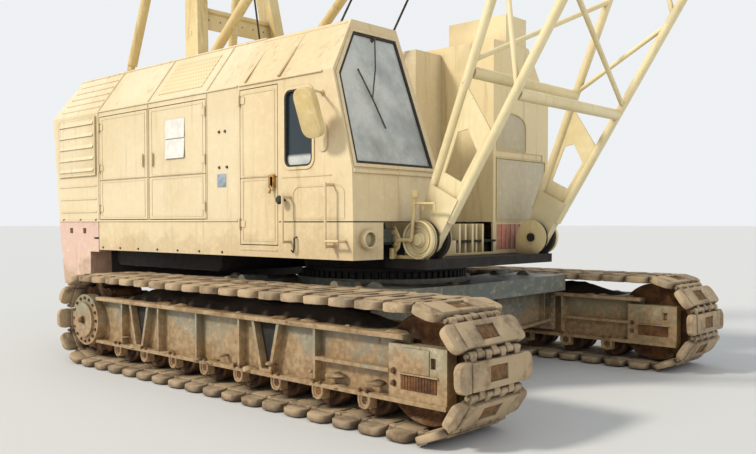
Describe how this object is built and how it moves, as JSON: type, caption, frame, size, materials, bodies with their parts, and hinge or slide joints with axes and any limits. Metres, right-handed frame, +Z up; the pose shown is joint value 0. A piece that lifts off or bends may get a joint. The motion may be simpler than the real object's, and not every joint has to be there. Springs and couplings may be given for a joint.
{
  "type": "crawler crane",
  "caption": "Crawler crane with a tubular lattice boom on pinned feet, slewing machine house, side cab, gantry with stays, backstop struts and hook block.",
  "frame": {"origin": "on the ground under the middle of the whole crane's length and width at rest", "axes": "+X to the boom side, +Y to the machine's left, +Z up"},
  "size_m": [11.9938, 4.3, 14.0241],
  "materials": {
    "body_paint": "weathered cream paint",
    "boom_paint": "weathered pale yellow paint",
    "ochre_paint": "weathered ochre paint",
    "pink_paint": "faded primer pink",
    "frame_paint": "grey green paint under dried mud",
    "shoes": "worn steel with mud",
    "rusty_steel": "rusty",
    "dark_steel": "oily steel",
    "machinery": "dusty grey green",
    "rope": "greased wire rope",
    "glass": "dusty glass",
    "seat_cover": "worn black cover"
  },
  "bodies": {
    "undercarriage": {"car_body": "frame_paint", "tow_eyes": "frame_paint", "slew_ring": "dark_steel", "side_frame_r": "frame_paint", "side_frame_l": "frame_paint", "track_r": "shoes", "track_l": "shoes", "rollers_r": "rusty_steel", "rollers_l": "rusty_steel", "idlers": "rusty_steel", "drive_wheels": "rusty_steel", "final_drives": "frame_paint"},
    "upperworks": {"turntable": "frame_paint", "skirts": "body_paint", "counterweight": "pink_paint", "house_r": "body_paint", "house_l": "body_paint", "house_rear": "body_paint", "louvres": "body_paint", "roof": "body_paint", "house_front": "body_paint", "front_block": "ochre_paint", "grille": "pink_paint", "roof_box": "ochre_paint", "engine": "machinery", "winches": "machinery", "cab_shell": "body_paint", "cab_panes": "glass", "seat": "seat_cover", "levers": "machinery", "handrails": "body_paint", "gantry_posts": "boom_paint", "gantry_legs": "boom_paint", "gantry_head": "dark_steel"},
    "boom": {"boom_root_r": "boom_paint", "boom_root_l": "boom_paint", "boom_root_front": "boom_paint", "boom_root_rear": "boom_paint", "boom_top_r": "boom_paint", "boom_top_l": "boom_paint", "boom_top_front": "boom_paint", "boom_top_rear": "boom_paint", "boom_tip": "boom_paint"},
    "struts": {"strut_tubes": "boom_paint"},
    "strut_ends": {"strut_rods": "dark_steel"},
    "luffing_falls": {"luff_falls": "rope"},
    "bridle_and_pendants": {"bridle": "rope"},
    "block": {"hook_block": "boom_paint"},
    "swivel_hook": {"hook": "dark_steel"},
    "cab_entrance_door": {"cab_door": "body_paint"},
    "door_right_rear": {"side_door_r1": "body_paint"},
    "door_right_front": {"side_door_r2": "body_paint"},
    "door_left_rear": {"side_door_l1": "body_paint"},
    "door_left_front": {"side_door_l2": "body_paint"}
  },
  "joints": [
    {"name": "slew", "type": "hinge", "parent": "undercarriage", "child": "upperworks", "pos_m": [-2.04693, 0, 1], "axis": [0, 0, 1], "continuous": true},
    {"name": "boom_luff", "type": "hinge", "parent": "upperworks", "child": "boom", "pos_m": [-0.79693, 0, 1.27], "axis": [0, -1, 0], "range_deg": [-30, 15]},
    {"name": "strut_swing", "type": "hinge", "parent": "upperworks", "child": "struts", "pos_m": [-4.10693, 0, 3.235], "axis": [0, -1, 0], "range_deg": [-24.14, 12.32]},
    {"name": "strut_slide", "type": "slide", "parent": "struts", "child": "strut_ends", "axis": [0.7726, 0, 0.6349], "range_m": [-0.91, 1.81]},
    {"name": "stay_swing", "type": "hinge", "parent": "upperworks", "child": "luffing_falls", "pos_m": [-4.7804, 0, 6.1], "axis": [0, -1, 0], "range_deg": [-28.34, 14.42]},
    {"name": "bridle_slide", "type": "slide", "parent": "luffing_falls", "child": "bridle_and_pendants", "axis": [0.7931, 0, 0.609], "range_m": [-1.57, 3.13]},
    {"name": "hook_hang", "type": "hinge", "parent": "boom", "child": "block", "pos_m": [5.55893, 0, 13.74409], "axis": [0, -1, 0], "range_deg": [-15.5, 30.5]},
    {"name": "hook_swivel", "type": "hinge", "parent": "block", "child": "swivel_hook", "pos_m": [5.82693, 0, 12.14409], "axis": [0, 0, 1], "continuous": true},
    {"name": "cab_door_hinge", "type": "hinge", "parent": "upperworks", "child": "cab_entrance_door", "pos_m": [-2.41593, -1.513, 1.945], "axis": [0, 0, -1], "range_deg": [0, 100]},
    {"name": "door_r1_hinge", "type": "hinge", "parent": "upperworks", "child": "door_right_rear", "pos_m": [-4.90293, -1.513, 2.005], "axis": [0, 0, -1], "range_deg": [0, 100]},
    {"name": "door_r2_hinge", "type": "hinge", "parent": "upperworks", "child": "door_right_front", "pos_m": [-2.93593, -1.513, 2.005], "axis": [0, 0, 1], "range_deg": [0, 100]},
    {"name": "door_l1_hinge", "type": "hinge", "parent": "upperworks", "child": "door_left_rear", "pos_m": [-4.90293, 1.513, 2.005], "axis": [0, 0, 1], "range_deg": [0, 100]},
    {"name": "door_l2_hinge", "type": "hinge", "parent": "upperworks", "child": "door_left_front", "pos_m": [-2.93593, 1.513, 2.005], "axis": [0, 0, -1], "range_deg": [0, 100]}
  ],
  "couplings": [
    {"joint": "strut_swing", "follows": "boom_luff", "ratio": 0.788},
    {"joint": "strut_slide", "follows": "boom_luff", "m_per_rad": -3.4377},
    {"joint": "stay_swing", "follows": "boom_luff", "ratio": 0.928},
    {"joint": "bridle_slide", "follows": "boom_luff", "m_per_rad": -5.9588},
    {"joint": "hook_hang", "follows": "boom_luff", "ratio": -1}
  ]
}
